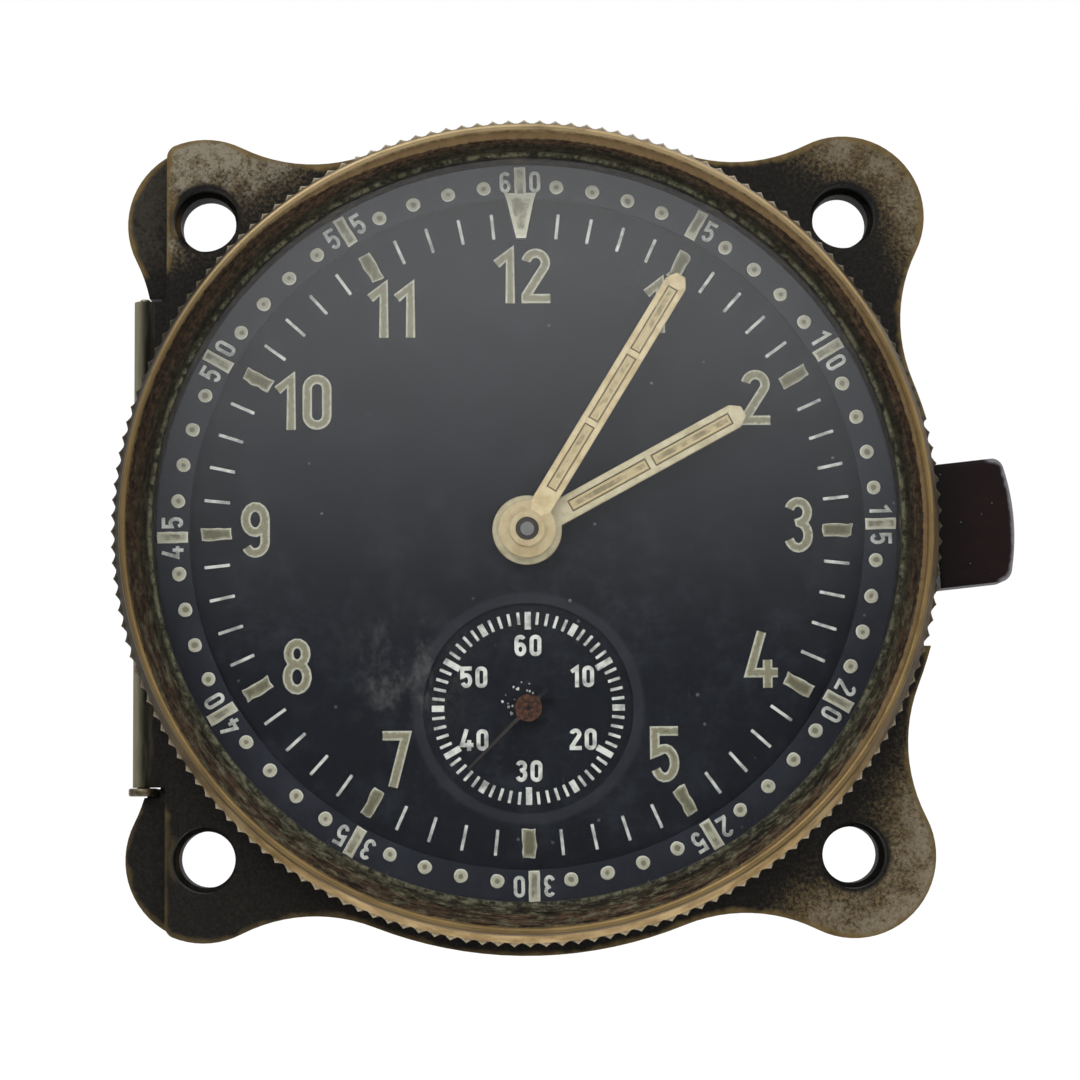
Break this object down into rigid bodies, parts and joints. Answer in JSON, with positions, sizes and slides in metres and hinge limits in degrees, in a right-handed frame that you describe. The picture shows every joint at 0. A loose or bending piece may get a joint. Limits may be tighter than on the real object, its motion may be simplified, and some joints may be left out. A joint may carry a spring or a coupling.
{
  "type": "aircraft clock",
  "caption": "Cockpit panel clock on a hinged four-lug flange, with a turning knurled bezel and pointer ring, luminous hands, a small seconds dial and a wind-up movement.",
  "frame": {"origin": "centre of the four panel holes, on the rear face of the rear plate", "axes": "+X to three o'clock, +Z to twelve o'clock, the dial faces -Y"},
  "size_m": [0.0675, 0.0299, 0.0624],
  "materials": {
    "plate_paint": "matt black paint worn to brass at the edges",
    "case_paint": "satin black paint",
    "aged_brass": "aged brass, dark in the hollows and bright on the rim",
    "movement_brass": "satin brass",
    "steel": "satin steel",
    "blued_steel": "blued steel",
    "dial_black": "matt blue-black paint",
    "hand_cream": "cream paint with luminous windows",
    "bakelite": "dark brown moulded resin",
    "clear": "clear flat crystal",
    "seal": "black seal"
  },
  "bodies": {
    "mount": {"rear_plate": "plate_paint", "hinge_pin": "aged_brass"},
    "clock": {"front_plate": "plate_paint", "case_can": "case_paint", "case_back": "case_paint", "case_back_screws": "steel", "bezel_seat": "aged_brass", "seat_screws": "steel", "dial": "dial_black", "latch_pivot": "steel", "movement_front_plate": "movement_brass", "movement_back_plate": "movement_brass", "pillars": "movement_brass", "pillar_screws": "blued_steel", "movement_screws": "blued_steel", "minute_wheel_stud": "steel", "balance_cock": "movement_brass", "cock_screw": "blued_steel", "click_screw": "blued_steel", "click_spring": "blued_steel"},
    "bezel": {"bezel_ring": "aged_brass", "bezel_spring": "steel", "crystal_gasket": "seal", "crystal": "clear", "spacer_ring": "aged_brass", "chapter_ring": "dial_black"},
    "centre": {"centre_arbor": "steel", "centre_wheel": "movement_brass", "cannon_pinion": "steel", "minute_hand": "hand_cream", "set_knob": "movement_brass"},
    "motion": {"minute_wheel": "movement_brass"},
    "hour": {"hour_wheel": "movement_brass", "hour_hand": "hand_cream"},
    "third": {"third_arbor": "steel", "third_wheel": "movement_brass"},
    "fourth": {"fourth_arbor": "steel", "fourth_wheel": "movement_brass", "seconds_hand": "blued_steel"},
    "escape": {"escape_arbor": "steel", "escape_wheel": "movement_brass"},
    "pallet": {"pallet_fork": "steel", "pallet_arbor": "steel"},
    "balance": {"balance_wheel": "movement_brass", "balance_staff": "steel", "hairspring": "blued_steel"},
    "spring_barrel": {"barrel": "movement_brass", "barrel_cover": "movement_brass", "mainspring": "blued_steel"},
    "winding": {"barrel_arbor": "steel", "ratchet_wheel": "steel", "winding_key": "movement_brass"},
    "ratchet_click": {"click": "steel"},
    "latch": {"latch_lever": "steel", "latch_grip": "bakelite", "grip_rivets": "steel"}
  },
  "joints": [
    {"name": "front_swing", "type": "hinge", "parent": "mount", "child": "clock", "pos_m": [-0.02875, -0.00165, 0], "axis": [0, 0, -1], "range_deg": [0, 75]},
    {"name": "bezel_turn", "type": "hinge", "parent": "clock", "child": "bezel", "pos_m": [0, -0.005, 0], "axis": [0, 1, 0], "continuous": true},
    {"name": "minute_turn", "type": "hinge", "parent": "clock", "child": "centre", "pos_m": [0, 0, 0], "axis": [0, 1, 0], "continuous": true},
    {"name": "motion_turn", "type": "hinge", "parent": "clock", "child": "motion", "pos_m": [-0.00416, 0, 0.0024], "axis": [0, 1, 0], "continuous": true},
    {"name": "hour_turn", "type": "hinge", "parent": "clock", "child": "hour", "pos_m": [0, 0, 0], "axis": [0, 1, 0], "continuous": true},
    {"name": "third_turn", "type": "hinge", "parent": "clock", "child": "third", "pos_m": [0.00412, 0, -0.00759], "axis": [0, 1, 0], "continuous": true},
    {"name": "seconds_turn", "type": "hinge", "parent": "clock", "child": "fourth", "pos_m": [0, 0, -0.013], "axis": [0, 1, 0], "continuous": true},
    {"name": "escape_turn", "type": "hinge", "parent": "clock", "child": "escape", "pos_m": [-0.00558, 0, -0.01503], "axis": [0, 1, 0], "continuous": true},
    {"name": "barrel_turn", "type": "hinge", "parent": "clock", "child": "spring_barrel", "pos_m": [0.0066, 0, 0.00786], "axis": [0, 1, 0], "continuous": true},
    {"name": "winding_turn", "type": "hinge", "parent": "clock", "child": "winding", "pos_m": [0.0066, 0, 0.00786], "axis": [0, 1, 0], "range_deg": [0, 1440]},
    {"name": "click_lift", "type": "hinge", "parent": "clock", "child": "ratchet_click", "pos_m": [0.0128, 0, 0.0056], "axis": [0, 1, 0], "range_deg": [0, 10]},
    {"name": "pallet_rock", "type": "hinge", "parent": "clock", "child": "pallet", "pos_m": [-0.00772, 0, -0.01133], "axis": [0, 1, 0], "range_deg": [-5, 5]},
    {"name": "balance_swing", "type": "hinge", "parent": "clock", "child": "balance", "pos_m": [-0.01022, 0, -0.007], "axis": [0, 1, 0], "range_deg": [-150, 150]},
    {"name": "latch_swing", "type": "hinge", "parent": "clock", "child": "latch", "pos_m": [0.0252, -0.0017, 0], "axis": [0, 1, 0], "range_deg": [0, 20]}
  ],
  "couplings": [
    {"joint": "motion_turn", "follows": "minute_turn", "ratio": -0.33333},
    {"joint": "hour_turn", "follows": "minute_turn", "ratio": 0.083333},
    {"joint": "third_turn", "follows": "minute_turn", "ratio": -8},
    {"joint": "seconds_turn", "follows": "minute_turn", "ratio": 60},
    {"joint": "escape_turn", "follows": "minute_turn", "ratio": -600},
    {"joint": "barrel_turn", "follows": "minute_turn", "ratio": -0.125}
  ]
}
